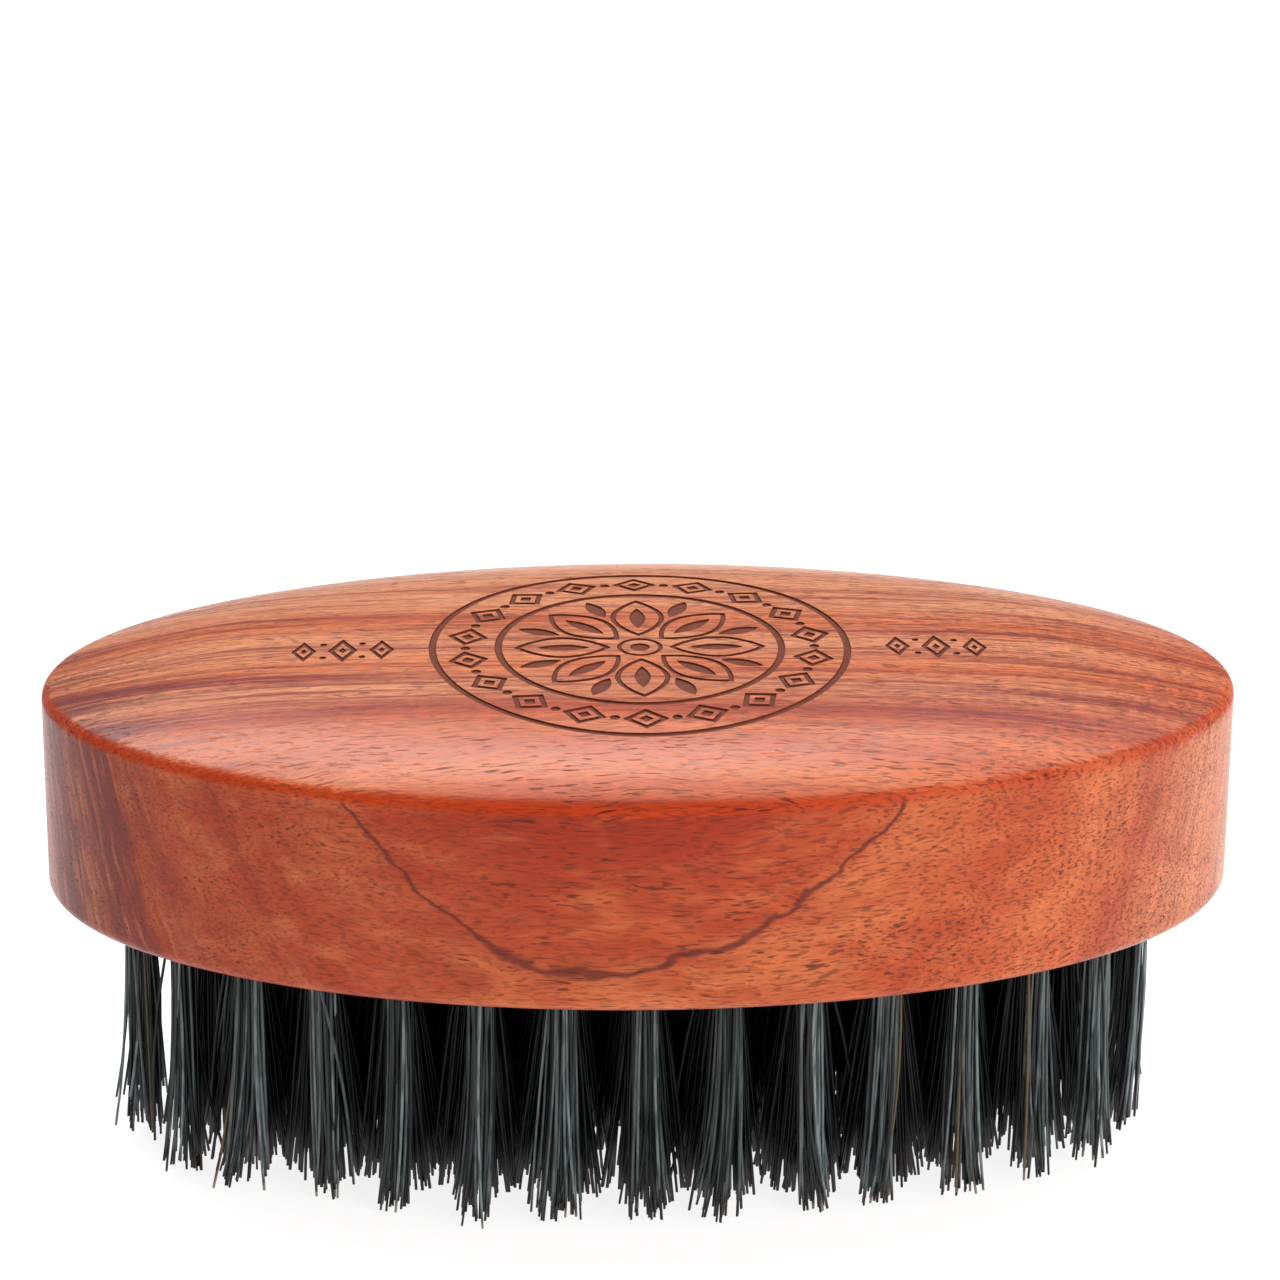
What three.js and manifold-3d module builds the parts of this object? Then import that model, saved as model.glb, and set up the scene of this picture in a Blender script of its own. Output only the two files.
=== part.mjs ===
// Oval beard brush: a one-piece wooden block with blind holes in its underside, and in each hole
// a tuft of bristle folded in half around a short piece of flat anchor wire.
// Millimetres, +Z up. X is the long axis, and the origin is under the middle, at the bristle tips.

import * as THREE from 'three';
import { mergeVertices } from 'three/addons/utils/BufferGeometryUtils.js';
import Module from 'manifold-3d';

// Block: an ellipse in plan, with a level underside, upright walls and a crowned back
const BLOCK_LENGTH = 120;
const BLOCK_WIDTH = 63;
const RIM_HEIGHT = 22; // where the crown would meet the wall with a sharp edge
const CROWN_RISE = 3.5;
const CROWN_POWER = 4.4; // flat in the middle, falling away near the rim
const CROWN_FLAT = 0.3; // share of the radius that is left truly flat
const TOP_ROUND = 1.6;
const BOTTOM_ROUND = 1.6;
const BLOCK_SIDES = 72;
const CROWN_STEPS = 6;
const ROUND_STEPS = 3;

// Bristle field: three rings and a middle row, each one RING_STEP further in
const BRISTLE_LENGTH = 27; // from the underside of the block to the trimmed tips
const FIELD_LENGTH = 103;
const FIELD_WIDTH = 46;
const RING_COUNTS = [30, 24, 18];
const ROW_COUNT = 8;
const RING_STEP = FIELD_WIDTH / 2 / RING_COUNTS.length;

// Holes and tufts
const HOLE_RADIUS = 1.5;
const HOLE_DEPTH = 9;
const GAP = 0.3; // between a tuft and the hole around it
const TUFT_SIDES = 8;
const SHANK_LENGTH = 8; // below the mouth of the hole, before a tuft starts to flare
const SHANK_RADIUS = 1.7;
const OUTER_TIP_RADIUS = 3.3;
const INNER_TIP_RADIUS = 4.3; // wide enough to mingle with the tufts next to it

// Anchors: flat wire driven across the fold, its ends biting into the wall of the hole
const ANCHOR_LENGTH = 3.8;
const ANCHOR_THICKNESS = 0.4;
const ANCHOR_HEIGHT = 1.6;
const ANCHOR_CLEARANCE = 0.15;
const FOLD_THICKNESS = 0.8; // bristle bent over the top of the anchor

const underside = BRISTLE_LENGTH;
const foldTop = underside + HOLE_DEPTH - GAP;
const anchorTop = foldTop - FOLD_THICKNESS - ANCHOR_CLEARANCE;

const wasm = await Module();
wasm.setup();

// Booleans

function toSolid(geometry) {
  const bare = geometry.clone();
  bare.deleteAttribute('normal');
  bare.deleteAttribute('uv');
  const merged = mergeVertices(bare);
  return new wasm.Manifold(new wasm.Mesh({
    numProp: 3,
    vertProperties: new Float32Array(merged.attributes.position.array),
    triVerts: new Uint32Array(merged.index.array),
  }));
}

function toGeometry(solid) {
  const mesh = solid.getMesh();
  const geometry = new THREE.BufferGeometry();
  geometry.setAttribute('position', new THREE.BufferAttribute(mesh.vertProperties, 3));
  geometry.setIndex(new THREE.BufferAttribute(mesh.triVerts, 1));
  geometry.computeVertexNormals();
  return geometry;
}

// Shapes

// A body turned about the Z axis from [radius, height] points, listed from the bottom up
function turned(profile, sides) {
  const points = profile.map(([radius, height]) => new THREE.Vector2(radius, height));
  return new THREE.LatheGeometry(points, sides).rotateX(Math.PI / 2);
}

function crownHeight(share) {
  return underside + RIM_HEIGHT + CROWN_RISE * (1 - share ** CROWN_POWER);
}

function blockProfile() {
  const radius = BLOCK_LENGTH / 2;
  const shoulder = crownHeight(1 - TOP_ROUND / radius);
  const profile = [[0, underside]];
  for (let i = 0; i <= ROUND_STEPS; i++) {
    const angle = (i / ROUND_STEPS) * (Math.PI / 2);
    profile.push([
      radius - BOTTOM_ROUND * (1 - Math.sin(angle)),
      underside + BOTTOM_ROUND * (1 - Math.cos(angle)),
    ]);
  }
  for (let i = 0; i <= ROUND_STEPS; i++) {
    const angle = (i / ROUND_STEPS) * (Math.PI / 2);
    profile.push([
      radius - TOP_ROUND * (1 - Math.cos(angle)),
      shoulder - TOP_ROUND * (1 - Math.sin(angle)),
    ]);
  }
  for (let i = 1; i <= CROWN_STEPS; i++) {
    const share = THREE.MathUtils.lerp(1 - TOP_ROUND / radius, CROWN_FLAT, i / CROWN_STEPS);
    profile.push([share * radius, crownHeight(share)]);
  }
  profile.push([0, crownHeight(CROWN_FLAT)]);
  return profile;
}

function tuftProfile(tipRadius) {
  return [
    [0, 0],
    [tipRadius, 0],
    [SHANK_RADIUS, underside - SHANK_LENGTH],
    [HOLE_RADIUS - GAP, underside],
    [HOLE_RADIUS - GAP, foldTop],
    [0, foldTop],
  ];
}

// Places of the tufts

function ringPlaces(ring) {
  const inset = ring * RING_STEP;
  const start = -Math.PI / 2;
  const curve = new THREE.EllipseCurve(
    0, 0, FIELD_LENGTH / 2 - inset, FIELD_WIDTH / 2 - inset, start, start + 2 * Math.PI);
  curve.arcLengthDivisions = 2000;
  return curve.getSpacedPoints(RING_COUNTS[ring]).slice(0, -1);
}

function rowPlaces() {
  const end = FIELD_LENGTH / 2 - RING_COUNTS.length * RING_STEP;
  return Array.from({ length: ROW_COUNT }, (_, i) => (
    new THREE.Vector2(THREE.MathUtils.lerp(-end, end, i / (ROW_COUNT - 1)), 0)));
}

// Sub-parts

function anchorBox(clearance) {
  const grow = 2 * clearance;
  const box = new THREE.BoxGeometry(
    ANCHOR_LENGTH + grow, ANCHOR_THICKNESS + grow, ANCHOR_HEIGHT + grow);
  return box.translate(0, 0, anchorTop - ANCHOR_HEIGHT / 2);
}

function holeCutter() {
  const height = HOLE_DEPTH + BRISTLE_LENGTH;
  return new THREE.CylinderGeometry(HOLE_RADIUS, HOLE_RADIUS, height, TUFT_SIDES)
    .rotateX(Math.PI / 2)
    .translate(0, 0, underside + HOLE_DEPTH - height / 2);
}

function blockGeometry(places, anchored) {
  const body = turned(blockProfile(), BLOCK_SIDES).scale(1, BLOCK_WIDTH / BLOCK_LENGTH, 1);
  let block = toSolid(body);
  const hole = toSolid(holeCutter());
  const pocket = toSolid(anchorBox(ANCHOR_CLEARANCE));
  for (const place of places) {
    block = block.subtract(hole.translate([place.x, place.y, 0]));
  }
  for (const place of anchored) {
    block = block.subtract(pocket.translate([place.x, place.y, 0]));
  }
  return toGeometry(block);
}

function innerTuftsGeometry(places, anchored) {
  const tuft = toSolid(turned(tuftProfile(INNER_TIP_RADIUS), TUFT_SIDES));
  const opening = toSolid(anchorBox(ANCHOR_CLEARANCE));
  let tufts = tuft.translate([places[0].x, places[0].y, 0]);
  for (const place of places.slice(1)) {
    tufts = tufts.add(tuft.translate([place.x, place.y, 0]));
  }
  for (const place of anchored) {
    tufts = tufts.subtract(opening.translate([place.x, place.y, 0]));
  }
  return toGeometry(tufts);
}

// Materials

function material(color, roughness, metalness) {
  return new THREE.MeshStandardMaterial({ color, roughness, metalness });
}

const oiledRosewood = () => material(0xa8492a, 0.4, 0);
const blackBristle = () => material(0x1b1f22, 0.5, 0);
const anchorWire = () => material(0xb9a06a, 0.35, 0.9);

// Assembly

const brush = new THREE.Group();

function addPart(name, geometry, surface, place) {
  const mesh = new THREE.Mesh(geometry, surface);
  mesh.name = name;
  mesh.position.set(place.x, place.y, 0);
  brush.add(mesh);
}

const numbered = (name, index) => `${name}_${String(index + 1).padStart(2, '0')}`;
const middle = new THREE.Vector2(0, 0);
const [outerRing, secondRing, thirdRing] = RING_COUNTS.map((_, ring) => ringPlaces(ring));
const inner = [...secondRing, ...thirdRing, ...rowPlaces()];

addPart('block', blockGeometry([...outerRing, ...inner], secondRing), oiledRosewood(), middle);

outerRing.forEach((place, index) => {
  const tuft = turned(tuftProfile(OUTER_TIP_RADIUS), TUFT_SIDES);
  addPart(numbered('tuft_outer', index), tuft, blackBristle(), place);
});

addPart('tufts_inner', innerTuftsGeometry(inner, secondRing), blackBristle(), middle);

secondRing.forEach((place, index) => {
  addPart(numbered('anchor', index), anchorBox(0), anchorWire(), place);
});

export default brush;
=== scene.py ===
"""The looks of an oval beard brush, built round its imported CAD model. Metres, +Z up."""

import math

import bpy
import numpy as np
from mathutils import Matrix, Vector


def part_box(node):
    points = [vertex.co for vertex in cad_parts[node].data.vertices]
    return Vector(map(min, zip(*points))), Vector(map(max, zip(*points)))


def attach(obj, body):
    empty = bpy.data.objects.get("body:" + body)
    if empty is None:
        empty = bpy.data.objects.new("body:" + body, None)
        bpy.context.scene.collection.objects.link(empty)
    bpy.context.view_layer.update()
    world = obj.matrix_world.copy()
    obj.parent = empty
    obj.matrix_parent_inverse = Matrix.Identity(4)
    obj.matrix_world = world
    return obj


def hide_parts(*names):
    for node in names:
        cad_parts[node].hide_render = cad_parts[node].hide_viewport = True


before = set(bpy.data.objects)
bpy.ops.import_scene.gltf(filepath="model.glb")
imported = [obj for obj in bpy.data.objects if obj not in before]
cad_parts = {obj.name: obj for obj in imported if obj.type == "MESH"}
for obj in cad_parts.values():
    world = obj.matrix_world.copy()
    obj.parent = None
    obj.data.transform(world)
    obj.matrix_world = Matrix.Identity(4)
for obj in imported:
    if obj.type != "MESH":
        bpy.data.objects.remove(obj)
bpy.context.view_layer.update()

MM = 0.001

# Sizes taken from the frame
block_low, block_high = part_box("block")
HALF_LENGTH = block_high.x
HALF_WIDTH = block_high.y
UNDERSIDE = block_low.z
BACK = block_high.z
ANCHOR_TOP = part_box("anchor_01")[1].z

# Block: the outline of the CAD solid, with finer rounds
CROWN_RISE = 3.5 * MM
CROWN_POWER = 4.4
TOP_ROUND = 1.25 * MM
BOTTOM_ROUND = 1.6 * MM
WALL_TOP = BACK - CROWN_RISE - TOP_ROUND
BLOCK_SIDES = 240
CROWN_STEPS = 30
ROUND_STEPS = 8
WALL_STEPS = 6

# Bristle field
RING_COUNT = 3
THIRD_COUNT = 18
ROW_COUNT = 8
HOLE_RADIUS = 1.5 * MM
HOLE_DEPTH = 9 * MM
HOLE_CLEAR = 1 * MM  # how far a cutter stands out below the block
HOLE_SIDES = 24
ROOT_RADIUS = 1.3 * MM

# Engraving
ENGRAVE_DEPTH = 0.18 * MM
ENGRAVE_CLEAR = 0.6 * MM  # how far a cutter stands above the wood
SHARP_ANGLE = math.radians(35)  # edges bent by more than this stay crisp


# ---------------------------------------------------------------- camera, floor and lights

CAMERA_DISTANCE = 0.4976
CAMERA_AZIMUTH = math.radians(-2.2)
CAMERA_ELEVATION = math.radians(24.07)
CAMERA_PITCH = math.radians(22.34)  # it looks down a little less than it stands up
CAMERA_ROLL = math.radians(0.42)
CAMERA_LENS = 137.7
CAMERA_CENTRE = Vector((0, 0, UNDERSIDE + 10 * MM))

# Soft boxes: name, place and target in metres, width and height in metres, watts, and colour
WHITE = (1, 1, 1)
COOL = (0.62, 0.93, 1.12)
BRUSH = (0, 0, 0.03)
LIGHTS = [
    ("overhead", (0, 0.8, 1.5), (0, 0.8, 0), (2.4, 1.7), 34, WHITE),
    ("rear_window", (-0.24, 0.72, 1.0), BRUSH, (1.0, 0.42), 6.5, COOL),
    ("front_fill", (1.05, -1.15, 0.7), BRUSH, (1.0, 1.0), 14.5, WHITE),
    ("right_fill", (1.5, -0.3, 0.45), BRUSH, (0.8, 0.8), 7, WHITE),
]
WORLD_COLOUR = (1, 0.96, 0.88)
WORLD_STRENGTH = 0.23


def heading(azimuth, fall):
    """The way that something looks from this azimuth, falling this far below level."""
    return Vector((
        -math.sin(azimuth) * math.cos(fall),
        math.cos(azimuth) * math.cos(fall),
        -math.sin(fall),
    ))


def make_camera():
    ahead = heading(CAMERA_AZIMUTH, CAMERA_PITCH)
    level = ahead.cross(Vector((0, 0, 1))).normalized()
    right = math.cos(CAMERA_ROLL) * level + math.sin(CAMERA_ROLL) * level.cross(ahead)
    data = bpy.data.cameras.new("camera")
    data.lens = CAMERA_LENS
    data.sensor_width = 36
    data.clip_start = 0.01
    camera = bpy.data.objects.new("camera", data)
    place = CAMERA_CENTRE - heading(CAMERA_AZIMUTH, CAMERA_ELEVATION) * CAMERA_DISTANCE
    turn = Matrix((right, right.cross(ahead), -ahead)).transposed().to_4x4()
    camera.matrix_world = Matrix.Translation(place) @ turn
    bpy.context.collection.objects.link(camera)
    bpy.context.scene.camera = camera


def make_light(name, place, target, size, power, colour):
    data = bpy.data.lights.new(name, "AREA")
    data.shape = "RECTANGLE"
    data.size, data.size_y = size
    data.energy = power
    data.color = colour
    light = bpy.data.objects.new(name, data)
    way = Vector(target) - Vector(place)
    light.location = place
    light.rotation_mode = "QUATERNION"
    light.rotation_quaternion = way.to_track_quat("-Z", "Y")
    bpy.context.collection.objects.link(light)


def make_studio():
    for light in LIGHTS:
        make_light(*light)
    world = bpy.data.worlds.new("studio")
    world.use_nodes = True
    background = world.node_tree.nodes["Background"]
    background.inputs["Color"].default_value = (*WORLD_COLOUR, 1)
    background.inputs["Strength"].default_value = WORLD_STRENGTH
    bpy.context.scene.world = world
    bpy.context.scene.view_settings.view_transform = "Standard"


# ---------------------------------------------------------------- node trees

class Tree:
    """Short calls for building one material's node tree. An input is a socket or a constant."""

    def __init__(self, name):
        self.material = bpy.data.materials.new(name)
        self.material.use_nodes = True
        self.nodes = self.material.node_tree.nodes
        self.shader = self.nodes["Principled BSDF"]

    def feed(self, socket, value):
        if isinstance(value, bpy.types.NodeSocket):
            self.material.node_tree.links.new(value, socket)
        elif isinstance(value, (tuple, list)) and socket.type == "RGBA" and len(value) == 3:
            socket.default_value = (*value, 1)
        else:
            socket.default_value = value

    def node(self, kind, inputs=(), **settings):
        node = self.nodes.new(kind)
        for name, value in settings.items():
            setattr(node, name, value)
        for key, value in dict(inputs).items():
            self.feed(node.inputs[key], value)
        return node

    def math(self, operation, *values):
        node = self.node("ShaderNodeMath", enumerate(values), operation=operation)
        return node.outputs[0]

    def total(self, *values):
        result = values[0]
        for value in values[1:]:
            result = self.math("ADD", result, value)
        return result

    def scaled(self, value, factor):
        return self.math("MULTIPLY", value, factor)

    def vector(self, x, y, z):
        return self.node("ShaderNodeCombineXYZ", enumerate((x, y, z))).outputs[0]

    def stretched(self, x, y, z, long, wide, high):
        """Coordinates in which noise repeats about every long, wide and high mm."""
        return self.vector(
            self.scaled(x, 1 / long), self.scaled(y, 1 / wide), self.scaled(z, 1 / high))

    def shaded(self, colour, factor):
        return self.mix(1.0, colour, self.vector(factor, factor, factor), "MULTIPLY")

    def noise(self, vector, detail=2.0, roughness=0.5, distortion=0.0):
        inputs = {
            "Vector": vector,
            "Scale": 1.0,
            "Detail": detail,
            "Roughness": roughness,
            "Distortion": distortion,
        }
        return self.node("ShaderNodeTexNoise", inputs).outputs["Fac"]

    def spread(self, value, low, high, new_low=0.0, new_high=1.0):
        inputs = enumerate((value, low, high, new_low, new_high))
        return self.node("ShaderNodeMapRange", inputs, clamp=True).outputs[0]

    def inside(self, zone, factor):
        """1 outside a zone and this factor inside it."""
        return self.spread(zone, 0.0, 1.0, 1.0, factor)

    def smooth(self, value, low, high):
        inputs = enumerate((value, low, high, 0.0, 1.0))
        node = self.node("ShaderNodeMapRange", inputs, interpolation_type="SMOOTHSTEP")
        return node.outputs[0]

    def mix(self, factor, a, b, blend="MIX"):
        node = self.node("ShaderNodeMix", data_type="RGBA", blend_type=blend)
        colours = [s for s in node.inputs if s.type == "RGBA"]
        self.feed(node.inputs[0], factor)
        self.feed(colours[0], a)
        self.feed(colours[1], b)
        return next(s for s in node.outputs if s.type == "RGBA")

    def ramp(self, value, stops):
        node = self.node("ShaderNodeValToRGB", {"Fac": value})
        elements = node.color_ramp.elements
        while len(elements) < len(stops):
            elements.new(1.0)
        for element, (position, colour) in zip(elements, stops):
            element.position = position
            element.color = (*colour, 1)
        return node.outputs["Color"]

    def place_mm(self):
        """The point's x, y and z in the frame, in millimetres."""
        coordinates = self.node("ShaderNodeTexCoord").outputs["Object"]
        inputs = {0: coordinates, "Scale": 1 / MM}
        scaled = self.node("ShaderNodeVectorMath", inputs, operation="SCALE")
        return self.node("ShaderNodeSeparateXYZ", {0: scaled.outputs[0]}).outputs

    def bump(self, height, distance, strength=1.0):
        inputs = {"Height": height, "Distance": distance, "Strength": strength}
        self.feed(self.shader.inputs["Normal"], self.node("ShaderNodeBump", inputs).outputs[0])


# ---------------------------------------------------------------- wood

LAYER_TILT = 0.2  # the growth layers lean back this much for each unit of height
LAYER_TURN = 0.025  # and run this far off the long axis
LAYER_SWAY = 1.4  # mm by which they waver along the board
LAYER_FLUTTER = 0.6
END_BEND = 4.5  # mm by which they curve forward at both ends of the back
WOOD_PALE = (0.68, 0.25, 0.118)
WOOD_LIGHT = (0.63, 0.155, 0.053)
WOOD_MIDDLE = (0.50, 0.076, 0.022)
WOOD_RED = (0.36, 0.022, 0.004)
WOOD_PURPLE = (0.25, 0.022, 0.018)
WOOD_DARK = (0.18, 0.016, 0.013)
LATE_WOOD = (0.13, 0.010, 0.010)
PORE = (0.09, 0.009, 0.006)
# the rim's colour: oil on the edge, with painted light
RIM_OIL_AND_PAINTED_LIGHT = (0.54, 0.040, 0.002)
BURNT_DARK = (0.095, 0.019, 0.010)
BURNT_LIGHT = (0.21, 0.048, 0.027)
SPECULAR_TINT = (1, 0.66, 0.5, 1)
WOOD_IOR = 1.45
WOOD_RELIEF = 0.04 * MM

# Noise fields: how long, wide and high one feature is, in mm
SWAY = (45, 33, 33)
FLUTTER = (6, 6, 6)
WANDER = (9, 7, 7)
BROAD_STREAK = (70, 4.5, 50)
FINE_STREAK = (26, 0.62, 9)
FIBRE = (2.6, 0.26, 0.26)
FIGURE = (0.7, 5, 16)
BLOTCH = (8, 3, 2.6)
PATCH = (14, 6, 6)
FINE_PORE = (1.7, 0.24, 0.24)
DEEP_PORE = (2.4, 0.27, 0.27)
WANDER_DEPTH = 1.6
MOST_NOISE = (0.3, 0.7)  # a noise field seldom leaves this range

# Zones: the pair of places, in mm, between which each one fades in
WALL_Z = (49.0, 47.0)
BACK_Z = (48.8, 49.8)
LATE_LINE_Z = (49.6, 48.8)
RIGHT_END_X = (40.0, 56.0)
RIGHT_WALL_X = (20.0, 34.0)
LEFT_END_X = (-44.0, -54.0)
EITHER_END_X = (38.0, 62.0)
# where the painted sheen on the crown's front slope fades in
FRONT_LAYERS = (-19.0, -23.0)

# The rim, where oil and painted light colour the edge, in mm above the top of the wall
RIM_FULL_FROM = 0.7
RIM_FULL_TO = 1.2
RIM_END = 1.5
RIM_RAGGED = 0.4

# Colour across the board, by distance in front of (-) or behind (+) its middle, in mm
LAYER_LOW, LAYER_HIGH = -34, 36
LAYER_COLOURS = [
    (-34, WOOD_RED),
    (-30.2, WOOD_RED),
    (-29.0, WOOD_MIDDLE),
    (-27.8, WOOD_MIDDLE),
    (-27.0, WOOD_LIGHT),
    (-26.0, WOOD_LIGHT),
    (-23.5, WOOD_MIDDLE),
    (-18.5, WOOD_LIGHT),
    (-15, WOOD_MIDDLE),
    (-10, WOOD_PALE),
    (-5, WOOD_LIGHT),
    (1, WOOD_PALE),
    (7, WOOD_LIGHT),
    (12, WOOD_PALE),
    (20, WOOD_PALE),
    (30, WOOD_PALE),
    (36, WOOD_LIGHT),
]
# Darker layers: place at the left and right end in mm, half width, and strength at each end
DARK_LAYERS = [
    (-22.4, -22.4, 0.35, 0.40, 0.30),
    (-17.6, -18.5, 0.7, 0.45, 0.30),
    (-14.0, -14.8, 1.5, 0.90, 1.00),
    (-10.4, -12.6, 0.5, 0.45, 0.30),
    (-6.8, -10.0, 1.5, 1.00, 0.85),
    (-3.6, -6.6, 0.5, 0.40, 0.30),
    (0.6, -2.4, 0.8, 0.50, 0.65),
    (4.4, 4.9, 0.8, 0.30, 1.00),
    (8.6, 8.6, 0.7, 0.60, 0.40),
    (16.0, 16.0, 0.9, 0.45, 0.45),
    (23.0, 23.0, 0.8, 0.40, 0.40),
]
LAYER_ENDS_X = (-45.0, 45.0)  # the two ends that a row of DARK_LAYERS speaks of
LATE_LINE = -27.4
LATE_LINE_WIDTH = 0.06
LATE_LINE_JITTER = 0.13


def layer_position(tree, x, y, z):
    """How far a point's growth layer is in front of or behind the middle of the back, in mm."""
    sway = tree.noise(tree.stretched(x, y, z, *SWAY), 1.0)
    flutter = tree.noise(tree.stretched(x, y, z, *FLUTTER), 2.0)
    lean = tree.scaled(tree.math("SUBTRACT", BACK / MM, z), LAYER_TILT)
    bend = tree.scaled(tree.smooth(tree.math("ABSOLUTE", x), *EITHER_END_X), END_BEND)
    return tree.total(
        y,
        lean,
        tree.scaled(bend, tree.spread(y, -8.0, 2.0)),
        tree.scaled(x, LAYER_TURN),
        tree.scaled(tree.math("SUBTRACT", sway, 0.5), LAYER_SWAY),
        tree.scaled(tree.math("SUBTRACT", flutter, 0.5), LAYER_FLUTTER),
    )


def pore_marks(tree, place, size, limit):
    """Short dark dashes along the grain: 0 between them and 1 inside."""
    field = tree.noise(tree.stretched(*place, *size), 1.0, 0.4)
    return tree.smooth(field, limit, limit + 0.06)


class Grain:
    """What the colours of the wood are mixed by: places in mm, noise fields and zones."""

    def __init__(self, tree):
        x, y, z = tree.place_mm()
        wander = tree.scaled(tree.noise(tree.stretched(x, y, z, *WANDER), 1.0), WANDER_DEPTH)
        wavy = (x, tree.total(y, wander), tree.total(z, wander))
        layer = layer_position(tree, x, y, z)
        self.x, self.y, self.z, self.layer = x, y, z, layer
        self.broad = tree.noise(tree.stretched(x, layer, z, *BROAD_STREAK), 3.0, 0.55)
        self.streak = tree.noise(tree.stretched(x, layer, z, *FINE_STREAK), 4.0, 0.62)
        self.fibre = tree.noise(tree.stretched(*wavy, *FIBRE), 4.0, 0.65)
        self.figure = tree.noise(tree.stretched(x, y, z, *FIGURE), 2.0, 0.6)
        self.blotch = tree.noise(tree.stretched(*wavy, *BLOTCH), 3.0, 0.55)
        self.patches = tree.noise(tree.stretched(x, y, z, *PATCH), 1.0)
        self.fine_pores = pore_marks(tree, wavy, FINE_PORE, 0.56)
        self.deep_pores = pore_marks(tree, wavy, DEEP_PORE, 0.63)
        self.on_wall = tree.spread(z, *WALL_Z)
        self.right_end = tree.spread(x, *RIGHT_END_X)
        self.left_end = tree.spread(x, *LEFT_END_X)
        self.right_wall = tree.scaled(tree.spread(x, *RIGHT_WALL_X), self.on_wall)


def layer_colour(tree, grain):
    """The colour of each growth layer, with broad redder streaks."""
    span = LAYER_HIGH - LAYER_LOW
    stops = [((at - LAYER_LOW) / span, colour) for at, colour in LAYER_COLOURS]
    colour = tree.ramp(tree.spread(grain.layer, LAYER_LOW, LAYER_HIGH), stops)
    return tree.mix(tree.spread(grain.broad, 0.44, 0.72, 0, 0.42), colour, WOOD_RED)


def wall_tones(tree, grain, colour):
    """On the wall: redder at the front left (the wood's tone, and painted shade where less light
    falls), paler at the right end (the wood's tone, and painted light from the right), and
    blotched.
    """
    rightward = tree.total(grain.x, tree.scaled(grain.layer, 0.6))
    # partly painted shade: the left of the wall faces away from the lights, so it is darkened as
    # well as reddened
    redder_and_painted_shade = tree.scaled(tree.spread(rightward, -38.0, -14.0, 0.5, 0.0), grain.on_wall)
    colour = tree.mix(redder_and_painted_shade, colour, WOOD_RED)
    # partly painted light: the right end of the wall faces the light from the right, so it is
    # lightened
    paler_and_painted_light = tree.scaled(tree.scaled(grain.right_end, grain.on_wall), 0.45)
    colour = tree.mix(paler_and_painted_light, colour, WOOD_PALE)
    blotched = tree.scaled(tree.spread(grain.blotch, 0.46, 0.62, 0.0, 0.52), grain.on_wall)
    blotched = tree.scaled(blotched, tree.spread(grain.x, 10.0, 30.0, 1.0, 0.45))
    colour = tree.mix(blotched, colour, WOOD_RED)
    bleached = tree.scaled(tree.spread(grain.blotch, 0.44, 0.26, 0.0, 0.6), grain.on_wall)
    return tree.mix(bleached, colour, WOOD_LIGHT)


def back_tones(tree, grain, colour):
    """On the back: browner at the right end, and a painted sheen along the front slope of the
    crown.
    """
    off_wall = tree.math("SUBTRACT", 1.0, grain.on_wall)
    browner = tree.scaled(tree.scaled(grain.right_end, off_wall), 0.55)
    colour = tree.mix(browner, colour, WOOD_MIDDLE)
    # painted sheen: the crown's front slope is lightened where it catches the rear light
    painted_front_sheen = tree.scaled(tree.spread(grain.layer, *FRONT_LAYERS), tree.spread(grain.z, *BACK_Z))
    return tree.mix(tree.scaled(painted_front_sheen, 0.35), colour, WOOD_LIGHT)


def streaks(tree, grain, colour):
    """Fine dark and pale streaks, weaker at the front of the board and on the right of the wall."""
    strength = tree.spread(grain.layer, -19.0, -12.0, 0.25, 1.0)
    strength = tree.scaled(strength, tree.inside(grain.right_wall, 0.4))
    dark = tree.scaled(tree.spread(grain.streak, 0.50, 0.66, 0, 0.7), strength)
    colour = tree.mix(dark, colour, WOOD_DARK)
    pale = tree.scaled(tree.spread(grain.streak, 0.46, 0.28, 0, 0.5), strength)
    return tree.mix(pale, colour, WOOD_PALE)


def dark_layers(tree, grain):
    """How strongly the dark layers colour a point. They fade towards the middle of the board."""
    total = 0.0
    widened = tree.spread(grain.x, -57.0, -46.0, 0.45, 1.0)  # they are wider at the left end
    for left, right, half_width, left_strength, right_strength in DARK_LAYERS:
        middle = tree.spread(grain.x, *LAYER_ENDS_X, left, right)
        offset = tree.math("ABSOLUTE", tree.math("SUBTRACT", grain.layer, middle))
        offset = tree.scaled(offset, widened)
        strength = tree.spread(grain.x, *LAYER_ENDS_X, left_strength, right_strength)
        band = tree.scaled(tree.smooth(offset, half_width * 1.7, half_width * 0.2), strength)
        total = tree.math("MAXIMUM", total, band)
    ends = tree.spread(tree.math("ABSOLUTE", grain.x), 6.0, 34.0, 0.4, 1.0)
    ragged = tree.spread(grain.streak, 0.36, 0.56, 0.2, 1.0)
    return tree.scaled(tree.scaled(total, ends), ragged)


def bands(tree, grain, colour):
    """The dark layers, plainer on the right of the wall, and darkest at the left end."""
    strength = tree.scaled(dark_layers(tree, grain), tree.inside(grain.right_wall, 0.35))
    strength = tree.scaled(strength, tree.inside(grain.left_end, 1.5))
    return tree.mix(strength, colour, tree.mix(grain.left_end, WOOD_PURPLE, WOOD_DARK))


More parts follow.
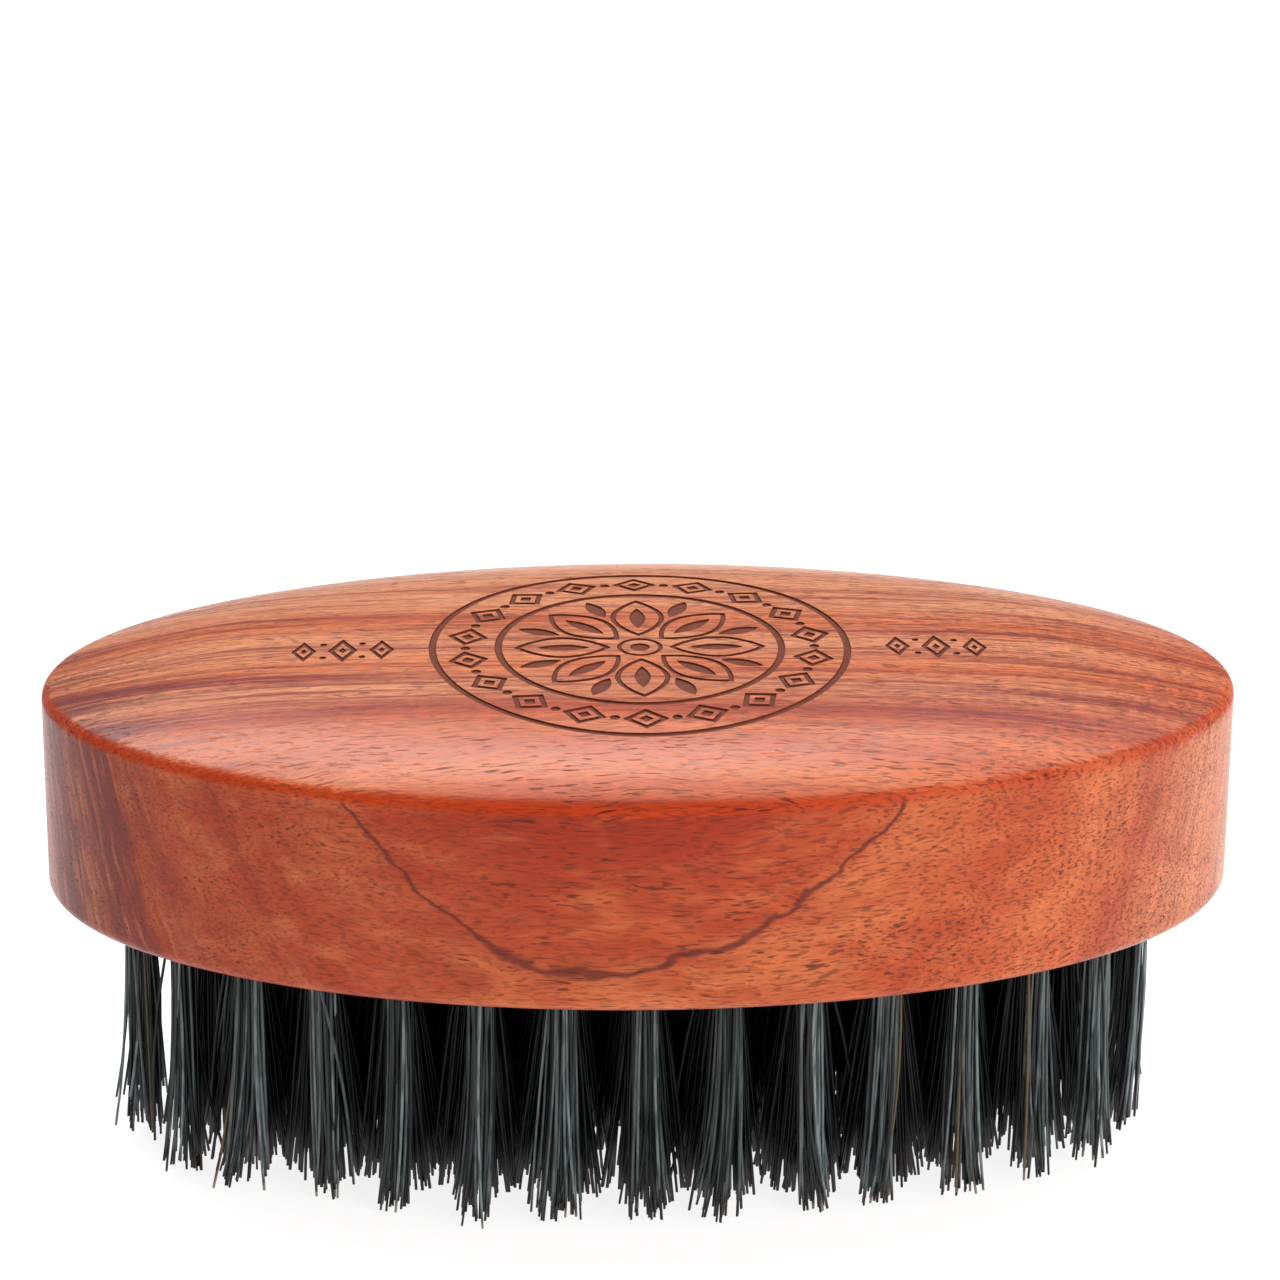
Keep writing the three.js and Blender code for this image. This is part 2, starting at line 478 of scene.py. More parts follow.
def late_line(tree, grain, colour):
    """One thin layer of late wood, which the wall cuts across in a long curve."""
    jitter = tree.spread(grain.blotch, *MOST_NOISE, -LATE_LINE_JITTER, LATE_LINE_JITTER)
    offset = tree.math("ABSOLUTE", tree.total(grain.layer, jitter, -LATE_LINE))
    offset = tree.scaled(offset, tree.spread(grain.patches, 0.35, 0.65, 1.5, 0.6))
    line = tree.smooth(offset, LATE_LINE_WIDTH * 2, LATE_LINE_WIDTH * 0.3)
    line = tree.scaled(line, tree.spread(grain.z, *LATE_LINE_Z, 0.0, 0.85))
    return tree.mix(line, colour, LATE_WOOD)


def rim_mask(tree, grain):
    """1 along the ragged edge between the wall and the back, which carries oil and painted light,
    and 0 elsewhere.
    """
    top = WALL_TOP / MM
    ragged = tree.total(
        grain.z, tree.spread(grain.fibre, *MOST_NOISE, -RIM_RAGGED, RIM_RAGGED))
    foot = tree.smooth(ragged, top, top + RIM_FULL_FROM)
    head = tree.smooth(ragged, top + RIM_END, top + RIM_FULL_TO)
    return tree.scaled(foot, head)


def oiled_rim_and_painted_light(tree, grain, rim, colour):
    """The rim's stronger, saturated colour, partly oil and partly painted light: the look of an
    edge that reflects little of the lamps. It weakens to the right and behind.
    """
    # painted light: strongest at the front left, the way the lit rim looks from the front
    oiled_and_lit = tree.scaled(rim, tree.spread(grain.x, 8.0, 44.0, 0.85, 0.4))
    oiled_and_lit = tree.scaled(oiled_and_lit, tree.spread(grain.y, -8.0, 8.0, 1.0, 0.45))
    return tree.mix(oiled_and_lit, colour, RIM_OIL_AND_PAINTED_LIGHT)


def fibres_and_pores(tree, grain, colour):
    """Fibres along the grain, a ripple across it at the right, and both kinds of pore."""
    ripple = tree.math("SUBTRACT", grain.figure, 0.5)
    ripple = tree.scaled(ripple, tree.spread(grain.patches, 0.42, 0.62, 0.1, 0.8))
    ripple = tree.scaled(ripple, tree.spread(grain.x, 22.0, 40.0, 0.12, 1.0))
    colour = tree.shaded(colour, tree.spread(grain.fibre, *MOST_NOISE, 0.76, 1.16))
    colour = tree.shaded(colour, tree.total(ripple, 1.0))
    fine = tree.scaled(grain.fine_pores, tree.spread(grain.x, -5.0, 25.0, 0.38, 0.56))
    colour = tree.mix(fine, colour, PORE)
    crowded = tree.scaled(grain.deep_pores, tree.spread(grain.patches, 0.4, 0.6))
    return tree.mix(tree.scaled(crowded, 0.8), colour, PORE)


def finish_wood(tree, grain, colour, roughness):
    """The gloss and relief that plain and burnt wood share."""
    height = tree.total(
        tree.scaled(grain.fibre, 0.25),
        tree.scaled(grain.streak, 0.2),
        tree.scaled(grain.deep_pores, -0.9),
    )
    tree.feed(tree.shader.inputs["Base Color"], colour)
    tree.feed(tree.shader.inputs["Roughness"], roughness)
    tree.shader.inputs["IOR"].default_value = WOOD_IOR
    tree.shader.inputs["Specular Tint"].default_value = SPECULAR_TINT
    tree.bump(height, WOOD_RELIEF, 0.6)
    return tree.material


def wood_material():
    tree = Tree("oiled_rosewood")
    grain = Grain(tree)
    rim = rim_mask(tree, grain)
    colour = layer_colour(tree, grain)
    for add in (wall_tones, back_tones, streaks, bands, late_line):
        colour = add(tree, grain, colour)
    colour = oiled_rim_and_painted_light(tree, grain, rim, colour)
    colour = fibres_and_pores(tree, grain, colour)
    roughness = tree.total(
        tree.spread(grain.fibre, *MOST_NOISE, 0.26, 0.38),
        tree.scaled(grain.deep_pores, 0.2),
        tree.scaled(rim, 0.3),
    )
    return finish_wood(tree, grain, colour, roughness)


def burnt_material():
    tree = Tree("burnt_wood")
    grain = Grain(tree)
    colour = tree.mix(tree.spread(grain.fibre, *MOST_NOISE), BURNT_DARK, BURNT_LIGHT)
    roughness = tree.spread(grain.fibre, *MOST_NOISE, 0.75, 0.9)
    return finish_wood(tree, grain, colour, roughness)


# ---------------------------------------------------------------- other materials

BRISTLE_BLACK = (0.0008, 0.0010, 0.0011)
# painted highlight: the base colour of the bristles that stand in for lit ones
BRISTLE_PAINTED_SHEEN = (0.21, 0.25, 0.255)
BRISTLE_SHEEN_BREAK = (0.004, 0.005, 0.005)
BRISTLE_TIP = (0.007, 0.0035, 0.002)
BRISTLE_BLOND = (0.12, 0.078, 0.036)
BRISTLE_SPLIT = (0.26, 0.21, 0.17)
BRISTLE_ROUGHNESS = 0.34
BRISTLE_IOR = 1.36
BLOND_FROM = (0.975, 0.98)  # tints above this are blond bristles
SPLIT_FROM = (0.84, 0.845)  # and tints above this have pale, split tips
WIRE_DARK = (0.55, 0.43, 0.22)
WIRE_LIGHT = (0.70, 0.58, 0.34)
FLOOR_DARK = (0.30, 0.30, 0.30)
FLOOR_LIGHT = (0.33, 0.33, 0.33)
FLOOR_GLOW = 0.85
FLOOR_SIZE = 6.0  # metres
FLOOR_CLOUD = 100  # mm


def bristle_material():
    """Each bristle's tint, from 0 to 1, says how much painted sheen its base colour gets and
    whether it is a pale one.
    """
    tree = Tree("black_bristle")
    x, y, z = tree.place_mm()
    tint = tree.node("ShaderNodeAttribute", attribute_name="tint").outputs["Fac"]
    sheen_breaks = tree.noise(tree.stretched(x, y, z, 0.35, 0.35, 3.5), 1.0)
    # painted highlight: lighter bristles stand in for those that catch the light, dark ones for
    # those in shade
    light = tree.math("POWER", tree.spread(tint, 0.05, 0.97), 2.0)
    colour = tree.mix(light, BRISTLE_BLACK, BRISTLE_PAINTED_SHEEN)
    # painted breaks in that sheen along each bristle
    colour = tree.mix(tree.spread(sheen_breaks, 0.42, 0.62, 0.0, 0.6), colour, BRISTLE_SHEEN_BREAK)
    above_tip = tree.total(z, tree.scaled(tree.math("SUBTRACT", tint, 0.5), 3.0))
    colour = tree.mix(tree.smooth(above_tip, 4.6, 2.0), colour, BRISTLE_TIP)
    colour = tree.mix(tree.smooth(tint, *BLOND_FROM), colour, BRISTLE_BLOND)
    split = tree.scaled(tree.smooth(tint, *SPLIT_FROM), tree.smooth(z, 1.9, 0.9))
    colour = tree.mix(split, colour, BRISTLE_SPLIT)
    tree.feed(tree.shader.inputs["Base Color"], colour)
    tree.shader.inputs["Roughness"].default_value = BRISTLE_ROUGHNESS
    tree.shader.inputs["IOR"].default_value = BRISTLE_IOR
    return tree.material


def anchor_material():
    tree = Tree("anchor_wire")
    x, y, z = tree.place_mm()
    along = tree.vector(tree.scaled(x, 0.8), tree.scaled(y, 9.0), tree.scaled(z, 9.0))
    drawn = tree.noise(along, 3.0)
    colour = tree.mix(tree.spread(drawn, *MOST_NOISE), WIRE_DARK, WIRE_LIGHT)
    tree.feed(tree.shader.inputs["Base Color"], colour)
    tree.feed(tree.shader.inputs["Roughness"], tree.spread(drawn, *MOST_NOISE, 0.25, 0.4))
    tree.shader.inputs["Metallic"].default_value = 1.0
    tree.bump(drawn, 0.01 * MM)
    return tree.material


def floor_material():
    tree = Tree("pale_floor")
    x, y, _ = tree.place_mm()
    across = tree.vector(tree.scaled(x, 1 / FLOOR_CLOUD), tree.scaled(y, 1 / FLOOR_CLOUD), 0.0)
    cloud = tree.noise(across)
    colour = tree.mix(tree.spread(cloud, *MOST_NOISE), FLOOR_DARK, FLOOR_LIGHT)
    tree.feed(tree.shader.inputs["Base Color"], colour)
    tree.shader.inputs["Emission Color"].default_value = (1, 1, 1, 1)
    tree.shader.inputs["Emission Strength"].default_value = FLOOR_GLOW
    tree.shader.inputs["Roughness"].default_value = 0.6
    return tree.material


# ---------------------------------------------------------------- meshes

def make_object(name, points, faces, materials, smooth=True):
    mesh = bpy.data.meshes.new(name)
    mesh.from_pydata(points, [], faces)
    for material in materials:
        mesh.materials.append(material)
    mesh.polygons.foreach_set("use_smooth", [smooth] * len(mesh.polygons))
    mesh.update()
    made = bpy.data.objects.new(name, mesh)
    bpy.context.collection.objects.link(made)
    return made


def crown_height(x, y):
    share = math.hypot(x / HALF_LENGTH, y / HALF_WIDTH)
    return BACK - CROWN_RISE * share ** CROWN_POWER


def round_over(angle):
    """One upright section of the block's edge, from the underside's rim to the crown's rim."""
    across, along = math.cos(angle), math.sin(angle)
    section = []
    for step in range(ROUND_STEPS + 1):
        bend = step / ROUND_STEPS * math.pi / 2
        inset = BOTTOM_ROUND * (1 - math.sin(bend))
        section.append((inset, UNDERSIDE + BOTTOM_ROUND * (1 - math.cos(bend))))
    reach = math.hypot(HALF_LENGTH * across, HALF_WIDTH * along)
    rim_share = 1 - TOP_ROUND / reach
    shoulder = BACK - CROWN_RISE * rim_share ** CROWN_POWER
    slope = CROWN_RISE * CROWN_POWER * rim_share ** (CROWN_POWER - 1) / reach
    corner = shoulder - slope * TOP_ROUND
    wall_top = corner - TOP_ROUND
    wall_foot = section[-1][1]
    for step in range(1, WALL_STEPS):
        section.append((0, wall_foot + (wall_top - wall_foot) * step / WALL_STEPS))
    for step in range(ROUND_STEPS + 1):
        t = step / ROUND_STEPS
        inset = TOP_ROUND * t * t
        height = (1 - t) ** 2 * wall_top + 2 * t * (1 - t) * corner + t * t * shoulder
        section.append((inset, height))
    return [
        ((HALF_LENGTH - inset) * across, (HALF_WIDTH - inset) * along, height)
        for inset, height in section
    ]


def block_mesh(materials):
    columns = []
    for side in range(BLOCK_SIDES):
        column = round_over(side / BLOCK_SIDES * 2 * math.pi)
        rim_x, rim_y, _ = column[-1]
        for step in range(1, CROWN_STEPS):
            share = 1 - step / CROWN_STEPS
            x, y = rim_x * share, rim_y * share
            column.append((x, y, crown_height(x, y)))
        columns.append(column)
    rows = len(columns[0])
    points = [point for column in columns for point in column]
    faces = []
    for side in range(BLOCK_SIDES):
        here, there = side * rows, (side + 1) % BLOCK_SIDES * rows
        for row in range(rows - 1):
            faces.append((here + row, there + row, there + row + 1, here + row + 1))
        faces.append((here + rows - 1, there + rows - 1, len(points)))
    points.append((0, 0, BACK))
    faces.append([side * rows for side in reversed(range(BLOCK_SIDES))])
    return make_object("wood_block", points, faces, materials)


def cut(target, cutter):
    modifier = target.modifiers.new("cut", "BOOLEAN")
    modifier.operation = "DIFFERENCE"
    modifier.solver = "EXACT"
    modifier.material_mode = "TRANSFER"
    modifier.object = cutter
    shaped = target.evaluated_get(bpy.context.evaluated_depsgraph_get())
    mesh = bpy.data.meshes.new_from_object(shaped)
    target.modifiers.clear()
    target.data = mesh
    bpy.data.objects.remove(cutter)


class Cutters:
    """Closed prisms collected into one mesh for a single cut."""

    def __init__(self):
        self.points = []
        self.faces = []

    def hole(self, x, y):
        start = len(self.points)
        ring = [side / HOLE_SIDES * 2 * math.pi for side in range(HOLE_SIDES)]
        for height in (UNDERSIDE - HOLE_CLEAR, UNDERSIDE + HOLE_DEPTH):
            self.points += [
                (x + HOLE_RADIUS * math.cos(a), y + HOLE_RADIUS * math.sin(a), height)
                for a in ring
            ]
        self.prism(start, HOLE_SIDES)

    def prism(self, start, count):
        """Sides and ends of a prism whose lower and then upper outline begin at start."""
        for i in range(count):
            j = (i + 1) % count
            self.faces.append((start + i, start + j, start + count + j, start + count + i))
        self.faces.append([start + i for i in reversed(range(count))])
        self.faces.append([start + count + i for i in range(count)])

    def engraved(self, outline):
        """A shallow cut that follows the crown, inside an outline given anticlockwise."""
        start = len(self.points)
        self.points += [(x, y, crown_height(x, y) - ENGRAVE_DEPTH) for x, y in outline]
        self.points += [(x, y, crown_height(x, y) + ENGRAVE_CLEAR) for x, y in outline]
        self.prism(start, len(outline))

    def engraved_line(self, outer, inner):
        """A groove between two closed outlines of the same number of points."""
        start, count = len(self.points), len(outer)
        for outline in (outer, inner):
            self.points += [(x, y, crown_height(x, y) - ENGRAVE_DEPTH) for x, y in outline]
            self.points += [(x, y, crown_height(x, y) + ENGRAVE_CLEAR) for x, y in outline]
        low_out, top_out, low_in, top_in = (start + k * count for k in range(4))
        for i in range(count):
            j = (i + 1) % count
            self.faces.append((low_out + i, low_out + j, top_out + j, top_out + i))
            self.faces.append((low_in + j, low_in + i, top_in + i, top_in + j))
            self.faces.append((top_out + i, top_out + j, top_in + j, top_in + i))
            self.faces.append((low_out + j, low_out + i, low_in + i, low_in + j))

    def make(self, name, material):
        return make_object(name, self.points, self.faces, [material], smooth=False)


# ---------------------------------------------------------------- ornament

RING_OUTER = 21.2 * MM
RING_INNER = 14.6 * MM
RING_LINE = 0.75 * MM
BAND_COUNT = 18
BAND_MIDDLE = (RING_OUTER - RING_LINE + RING_INNER) / 2
BAND_DOT = 0.5 * MM

# Half lengths and half widths of the band's lozenges: outline, inside of the outline, and core
BAND_LOZENGES = [
    (2.1 * MM, 2.3 * MM),
    (1.35 * MM, 1.45 * MM),
    (0.7 * MM, 0.75 * MM),
]

PETAL_COUNT = 8
PETAL_START = 2.9 * MM  # from the centre to the foot of a petal
PETAL_OUTLINE = (9.8 * MM, 2.75 * MM)  # length and half width
PETAL_INSIDE = (8.4 * MM, 2.2 * MM)
PETAL_INSET = 0.7 * MM
VEIN_START = 5.0 * MM
VEIN = (5.4 * MM, 0.8 * MM)
LEAF_START = 8.6 * MM
LEAF = (4.6 * MM, 0.85 * MM)
EYE_RADIUS = 2.3 * MM
EYE_LINE = 0.45 * MM
PUPIL_RADIUS = 1.0 * MM

SIDE_START = 25.9  # mm from the middle of the back to the first side lozenge
SIDE_STEP = 3.9
SIDE_SCALES = [0.85, 1.0, 0.85]
SIDE_LOZENGES = [(1.5, 3.0), (0.9, 1.8), (0.4, 0.8)]  # mm
SIDE_DOT = 0.36 * MM
SIDE_DOT_Y = 1.7 * MM


def circle(radius, count=180, centre=(0, 0)):
    return [
        (centre[0] + radius * math.cos(i / count * 2 * math.pi),
         centre[1] + radius * math.sin(i / count * 2 * math.pi))
        for i in range(count)
    ]


def turned_to(outline, angle, distance):
    """An outline drawn along +X, turned by an angle and moved out that way."""
    c, s = math.cos(angle), math.sin(angle)
    return [((x + distance) * c - y * s, (x + distance) * s + y * c) for x, y in outline]


def lozenge(half_x, half_y):
    return [(half_x, 0), (0, half_y), (-half_x, 0), (0, -half_y)]


def petal(length, half_width, count=14):
    """A pointed leaf from the origin along +X."""
    there = [i / count for i in range(count)]
    lower = [(length * t, -half_width * math.sin(math.pi * t) ** 0.85) for t in there]
    upper = [(length * (1 - t), half_width * math.sin(math.pi * t) ** 0.85) for t in there]
    return lower + upper


def engrave_border(cutters):
    """Two rings, with lozenges and dots in the band between them."""
    for radius in (RING_OUTER, RING_INNER):
        cutters.engraved_line(circle(radius), circle(radius - RING_LINE))
    for index in range(BAND_COUNT):
        angle = (index + 0.5) / BAND_COUNT * 2 * math.pi
        outer, inner, core = (
            turned_to(lozenge(*halves), angle, BAND_MIDDLE) for halves in BAND_LOZENGES)
        cutters.engraved_line(outer, inner)
        cutters.engraved(core)
        between = index / BAND_COUNT * 2 * math.pi
        spot = (BAND_MIDDLE * math.cos(between), BAND_MIDDLE * math.sin(between))
        cutters.engraved(circle(BAND_DOT, 16, spot))


def engrave_rosette(cutters):
    """Outlined petals with a vein in each, small leaves between them, and a ringed eye."""
    outline = petal(*PETAL_OUTLINE)
    inside = [(x + PETAL_INSET, y) for x, y in petal(*PETAL_INSIDE)]
    for index in range(PETAL_COUNT):
        angle = index / PETAL_COUNT * 2 * math.pi
        outer = turned_to(outline, angle, PETAL_START)
        inner = turned_to(inside, angle, PETAL_START)
        cutters.engraved_line(outer, inner)
        cutters.engraved(turned_to(petal(*VEIN), angle, VEIN_START))
        half = angle + math.pi / PETAL_COUNT
        cutters.engraved(turned_to(petal(*LEAF), half, LEAF_START))
    cutters.engraved_line(circle(EYE_RADIUS, 48), circle(EYE_RADIUS - EYE_LINE, 48))
    cutters.engraved(circle(PUPIL_RADIUS, 24))


def engrave_sides(cutters):
    """Three tall lozenges with dots between them, on each side of the border."""
    for side in (-1, 1):
        for step, scale in enumerate(SIDE_SCALES):
            centre = side * (SIDE_START + SIDE_STEP * step) * MM
            outer, inner, core = (
                [(x + centre, y) for x, y in lozenge(half_x * MM * scale, half_y * MM * scale)]
                for half_x, half_y in SIDE_LOZENGES
            )
            cutters.engraved_line(outer, inner)
            cutters.engraved(core)
        for step in (0.5, 1.5):
            centre = side * (SIDE_START + SIDE_STEP * step) * MM
            for y in (-SIDE_DOT_Y, SIDE_DOT_Y):
                cutters.engraved(circle(SIDE_DOT, 12, (centre, y)))


# ---------------------------------------------------------------- places of the tufts

def ellipse_places(half_x, half_y, count):
    """Points spaced evenly round an ellipse, from the front, anticlockwise."""
    angle = np.linspace(-math.pi / 2, 1.5 * math.pi, 4001)
    x, y = half_x * np.cos(angle), half_y * np.sin(angle)
    run = np.concatenate([[0], np.cumsum(np.hypot(np.diff(x), np.diff(y)))])
    at = np.arange(count) / count * run[-1]
    return list(zip(np.interp(at, run, x), np.interp(at, run, y)))


def centre_of(node):
    low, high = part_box(node)
    return (low.x + high.x) / 2, (low.y + high.y) / 2


def numbered(name):
    """The frame's nodes called name_01, name_02 and so on, in order."""
    return sorted(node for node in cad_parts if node.startswith(name))


# ---------------------------------------------------------------- bristles

BRISTLE_RADIUS = (0.14 * MM, 0.19 * MM)
TIP_TAPER = 0.15  # share of its thickness that a bristle loses at the tip
FOLD_STEPS = 5
FOLD_SINK = 0.4  # share of its half width by which a fold hangs below the anchor's top
ROOT_NEAR = 0.25 * MM  # from the middle of the anchor to the nearest bristle
ROOT_SQUASH = 0.82  # leaves room for ROOT_NEAR inside the hole
GOLDEN_TURN = 0.6180339  # in half turns: spreads the roots evenly over half of the hole
ROOT_TWIST = 0.45  # radians
LOCKS = 6  # on each side of a tuft
LEAST_PULL = 0.4  # share of a tuft's pull that its loosest tips feel
TIP_SCATTER = 0.12 * MM
TIP_UNEVEN = 0.65 * MM
TIP_HIGHEST = 5 * MM
STRAY_SHARE = 0.05
STRAY_REACH = 1.2 * MM
STRAY_POWER = 1.2
STRAY_BOW = 3.5  # times as bowed as the others
BOW = 0.2 * MM


def gathered(rng, tips, pull):
    """Tips drawn part of the way to the nearest of a few of them, so that they form locks."""
    centres = tips[rng.choice(len(tips), LOCKS, replace=False)]
    apart = np.linalg.norm(tips[:, None] - centres[None], axis=2)
    share = rng.uniform(pull * LEAST_PULL, pull, len(tips))[:, None]
    return tips + (centres[apart.argmin(1)] - tips) * share


def bristle_legs(rng, root, way, tuft):
    """Centre lines from tip to hole of the half of a tuft that lies on one side of its anchor."""
    count = len(root)
    side = root * (1, way)
    turn = rng.normal(0, ROOT_TWIST, count)
    gain = tuft["tip_radius"] / ROOT_RADIUS * rng.uniform(*tuft["gain"], count)
    across = side[:, 0] * np.cos(turn) - side[:, 1] * np.sin(turn)
    along = side[:, 0] * np.sin(turn) + side[:, 1] * np.cos(turn)
    tips = np.stack([across, along], 1) * gain[:, None]
    tips = gathered(rng, tips, tuft["pull"]) + tuft["lean"]
    stray = rng.random(count) < STRAY_SHARE
    tips += rng.normal(0, TIP_SCATTER, (count, 2))
    tips += stray[:, None] * rng.normal(0, STRAY_REACH, (count, 2))
    bow = rng.normal(0, BOW, (count, 2)) * np.where(stray, STRAY_BOW, 1)[:, None]
    power = np.where(stray, STRAY_POWER, rng.uniform(*tuft["power"], count))
    tip_height = np.abs(rng.normal(0, TIP_UNEVEN, count))
    tip_height += rng.exponential(tuft["short"], count)
    tip_height = np.minimum(tip_height, TIP_HIGHEST)
    share = np.linspace(1, 0, tuft["steps"])[None, :]
    flare = share ** power[:, None]
    leg = np.zeros((count, tuft["steps"], 3))
    leg[..., :2] = (
        side[:, None]
        + (tips - side)[:, None] * flare[..., None]
        + bow[:, None] * np.sin(math.pi * share)[..., None]
    )
    leg[..., 2] = UNDERSIDE + (tip_height[:, None] - UNDERSIDE) * share
    return leg


def folded_bristles(rng, tuft):
    """Centre lines of one tuft's bristles, tip to tip, each folded over an anchor at the origin."""
    count = tuft["count"]
    index = np.arange(count)
    reach = ROOT_RADIUS * np.sqrt((index + 0.5) / count)
    turn = math.pi * ((index * GOLDEN_TURN) % 1)
    root_y = ROOT_NEAR + ROOT_SQUASH * reach * np.sin(turn)
    root = np.stack([reach * np.cos(turn), root_y], 1)
    bend = np.linspace(-math.pi / 2, math.pi / 2, FOLD_STEPS)
    fold = np.zeros((count, FOLD_STEPS, 3))
    fold[..., 0] = root[:, :1]
    fold[..., 1] = root[:, 1:] * np.sin(bend)
    fold[..., 2] = ANCHOR_TOP - FOLD_SINK * root[:, 1:] + root[:, 1:] * np.cos(bend)
    front = bristle_legs(rng, root, -1, tuft)
    back = bristle_legs(rng, root, 1, tuft)
    return np.concatenate([front, fold, back[:, ::-1]], 1)


def tubes(lines, radii, sides):
    """One tube along each centre line, as points and faces."""
    count, steps, _ = lines.shape
    along = np.gradient(lines, axis=1)
    along /= np.linalg.norm(along, axis=2, keepdims=True)
    across = np.array([1.0, 0, 0]) - along * along[..., :1]
    across /= np.linalg.norm(across, axis=2, keepdims=True)
    other = np.cross(along, across)
    angle = (np.arange(sides) / sides * 2 * math.pi)[None, None, :, None]
    ring = across[:, :, None] * np.cos(angle) + other[:, :, None] * np.sin(angle)
    points = lines[:, :, None] + ring * radii[:, :, None, None]
    base = np.arange(steps * sides).reshape(steps, sides)
    here, there = base[:-1], base[1:]
    walls = np.stack([here, np.roll(here, -1, 1), np.roll(there, -1, 1), there], -1)
    walls = walls.reshape(-1, 4)
    faces = []
    for index in range(count):
        shift = index * steps * sides
        faces += (walls + shift).tolist()
        faces.append((base[0][::-1] + shift).tolist())
        faces.append((base[-1] + shift).tolist())
    return points.reshape(-1, 3), faces


def make_tuft(name, place, rng, material, tuft):
    lines = folded_bristles(rng, tuft)
    lines[..., 0] += place[0]
    lines[..., 1] += place[1]
    count, points_each = lines.shape[:2]
    to_tip = np.abs(np.linspace(-1, 1, points_each))
    thickness = rng.uniform(*BRISTLE_RADIUS, count)[:, None] * (1 - TIP_TAPER * to_tip[None] ** 8)
    points, faces = tubes(lines, thickness * tuft["thickness"], tuft["sides"])
    piece = make_object(name, points.tolist(), faces, [material])
    tint = np.repeat(rng.random(count) * tuft["painted_sheen"], points_each * tuft["sides"])
    piece.data.attributes.new("tint", "FLOAT", "POINT").data.foreach_set("value", tint)
    return piece


# What makes each kind of tuft: the number of its strands and how finely each is drawn, how far
# the tips spread (as shares of the tip radius), how late it flares, how unevenly short it is,
# how much painted sheen it gets, how strongly it gathers into locks, and how thick its strands are
OUTER_TUFT = {
    "count": 22,
    "sides": 5,
    "steps": 8,
    "gain": (0.5, 1.1),
    "power": (1.8, 3.0),
    "short": 0.75 * MM,
    "painted_sheen": 1.0,
    "pull": 0.75,
    "thickness": 1.0,
}
INNER_TUFT = {
    "count": 64,
    "sides": 4,
    "steps": 6,
    "gain": (0.7, 1.15),
    "power": (0.7, 1.5),
    "short": 0.3 * MM,
    # painted shade: the inner tufts get less painted sheen, as they stand in the shade inside the
    # brush
    "painted_sheen": 0.42,
    "pull": 0.3,
    "thickness": 1.05,
}
OUTER_TIP_RADII = (2.2, 3.4)  # mm
INNER_TIP_RADIUS = 5.0 * MM
OUTER_LEAN = 0.4 * MM
INNER_LEAN = 0.3 * MM
OUTER_SEED = 100
INNER_SEED = 500


def outer_tuft(node, place, seed, material):
    """A tuft of the outer ring. It stands clear of its neighbours."""
    rng = np.random.default_rng(seed)
    tip_radius = rng.uniform(*OUTER_TIP_RADII) * MM
    lean = rng.normal(0, OUTER_LEAN, 2)
    tuft = dict(OUTER_TUFT, tip_radius=tip_radius, lean=lean)
    return make_tuft(node.replace("tuft", "bristle_tuft"), place, rng, material, tuft)


def inner_tuft(name, place, seed, material):
    """A tuft further in. It mingles with its neighbours."""
    rng = np.random.default_rng(seed)
    tuft = dict(INNER_TUFT, tip_radius=INNER_TIP_RADIUS, lean=rng.normal(0, INNER_LEAN, 2))
    return make_tuft(name, place, rng, material, tuft)


# ---------------------------------------------------------------- pieces

def keep_on_brush(piece, slot, *nodes):
    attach(piece, "root")
    if nodes:
        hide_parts(*nodes)


def make_block(places):
    wood = wood_material()
    burnt = burnt_material()
    block = block_mesh([wood, burnt])
    holes = Cutters()
    for x, y in places:
        holes.hole(x, y)
    cut(block, holes.make("holes", wood))
    ornament = Cutters()
    engrave_border(ornament)
    engrave_rosette(ornament)
    engrave_sides(ornament)
    cut(block, ornament.make("ornament", burnt))
    block.data.polygons.foreach_set("use_smooth", [True] * len(block.data.polygons))
    block.data.set_sharp_from_angle(angle=SHARP_ANGLE)
    keep_on_brush(block, "wood", "block")


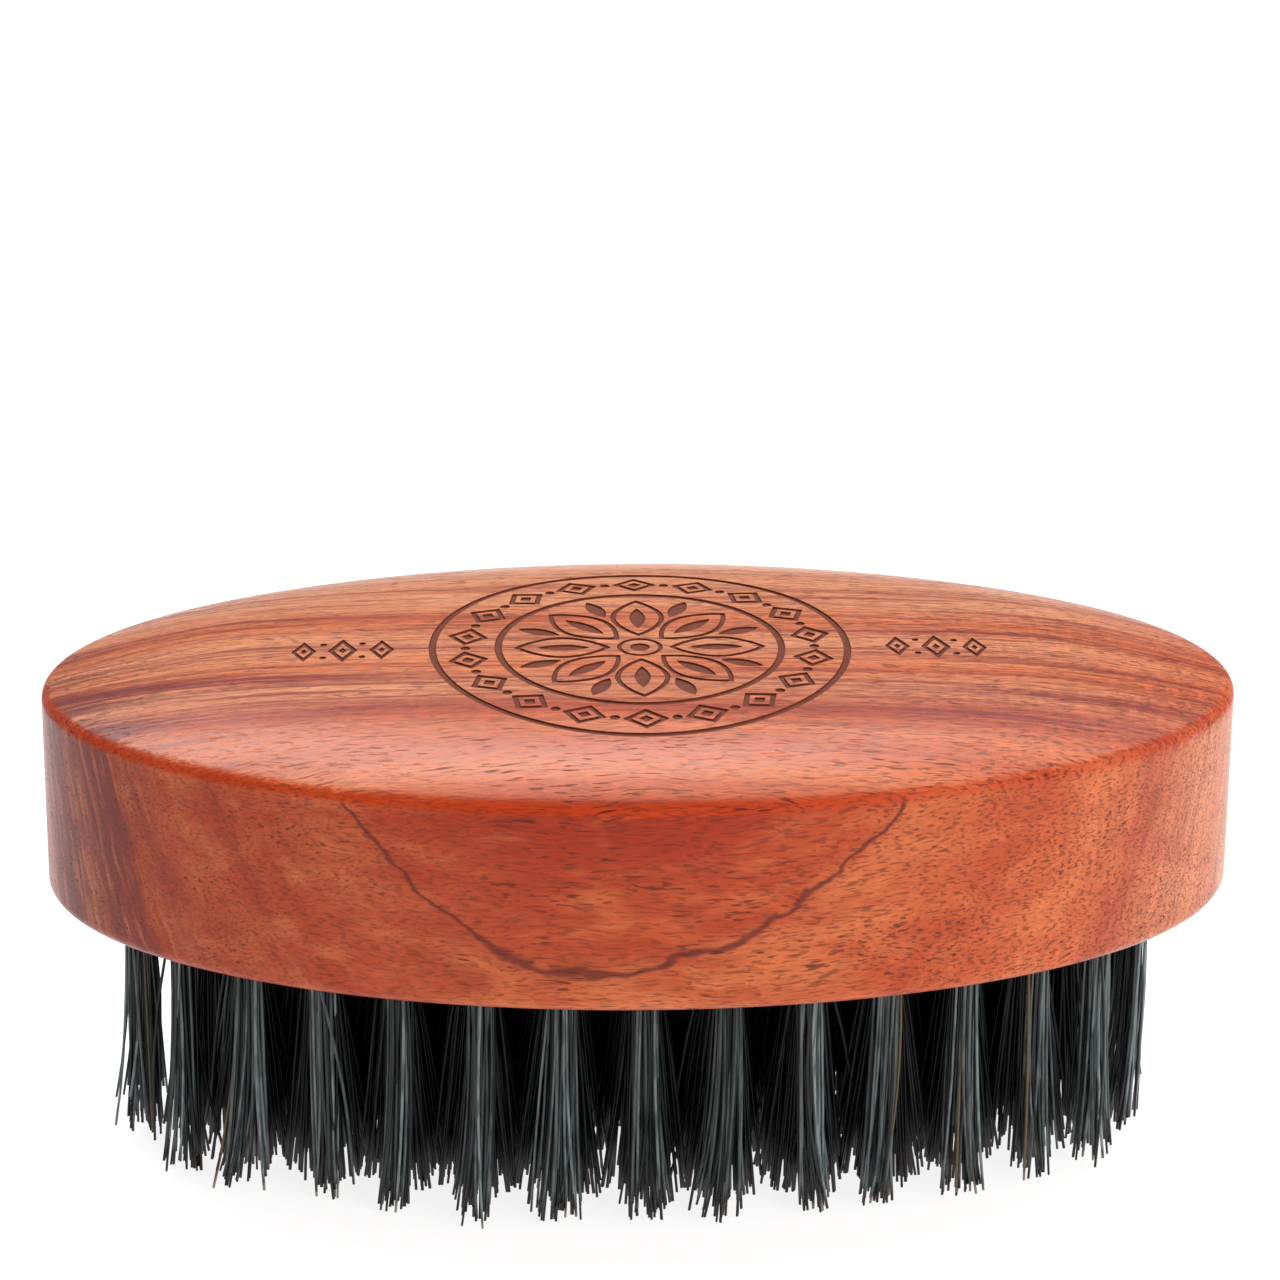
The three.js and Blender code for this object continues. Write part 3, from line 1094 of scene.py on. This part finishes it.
def make_anchors(name, places, material):
    low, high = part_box("anchor_01")
    half = (high - low) / 2
    points, faces = [], []
    for x, y in places:
        start = len(points)
        for height in (low.z, high.z):
            points += [
                (x + half.x * a, y + half.y * b, height)
                for a, b in ((-1, -1), (1, -1), (1, 1), (-1, 1))
            ]
        for i in range(4):
            j = (i + 1) % 4
            faces.append((start + i, start + j, start + 4 + j, start + 4 + i))
        faces.append([start + i for i in (3, 2, 1, 0)])
        faces.append([start + i for i in (4, 5, 6, 7)])
    keep_on_brush(make_object(name, points, faces, [material], smooth=False), "anchor_wire")


def make_bristles(outer, inner, material):
    for index, (node, place) in enumerate(outer):
        keep_on_brush(outer_tuft(node, place, OUTER_SEED + index, material), "bristle", node)
    for index, place in enumerate(inner):
        name = f"bristle_tuft_inner_{index + 1:02d}"
        piece = inner_tuft(name, place, INNER_SEED + index, material)
        keep_on_brush(piece, "bristle", "tufts_inner")


def make_floor():
    half = FLOOR_SIZE / 2
    corners = [(-half, -half, 0), (half, -half, 0), (half, half, 0), (-half, half, 0)]
    floor = make_object("floor", corners, [(0, 1, 2, 3)], [floor_material()], smooth=False)


make_camera()
make_studio()
make_floor()

outer_ring = [(node, centre_of(node)) for node in numbered("tuft_outer")]
second_ring = [centre_of(node) for node in numbered("anchor")]
field_half_width = -outer_ring[0][1][1]
second_half_length = max(x for x, y in second_ring)
ring_step = field_half_width / RING_COUNT
third_ring = ellipse_places(second_half_length - ring_step, ring_step, THIRD_COUNT)
row_end = second_half_length - 2 * ring_step
row = [(float(x), 0.0) for x in np.linspace(-row_end, row_end, ROW_COUNT)]

make_block([place for _, place in outer_ring] + second_ring + third_ring + row)
make_bristles(outer_ring, second_ring + third_ring + row, bristle_material())

wire = anchor_material()
for node in numbered("anchor"):
    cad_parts[node].data.materials.clear()
    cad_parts[node].data.materials.append(wire)
make_anchors("anchors_outer_ring", [place for _, place in outer_ring], wire)
make_anchors("anchors_third_ring", third_ring, wire)
make_anchors("anchors_middle_row", row, wire)
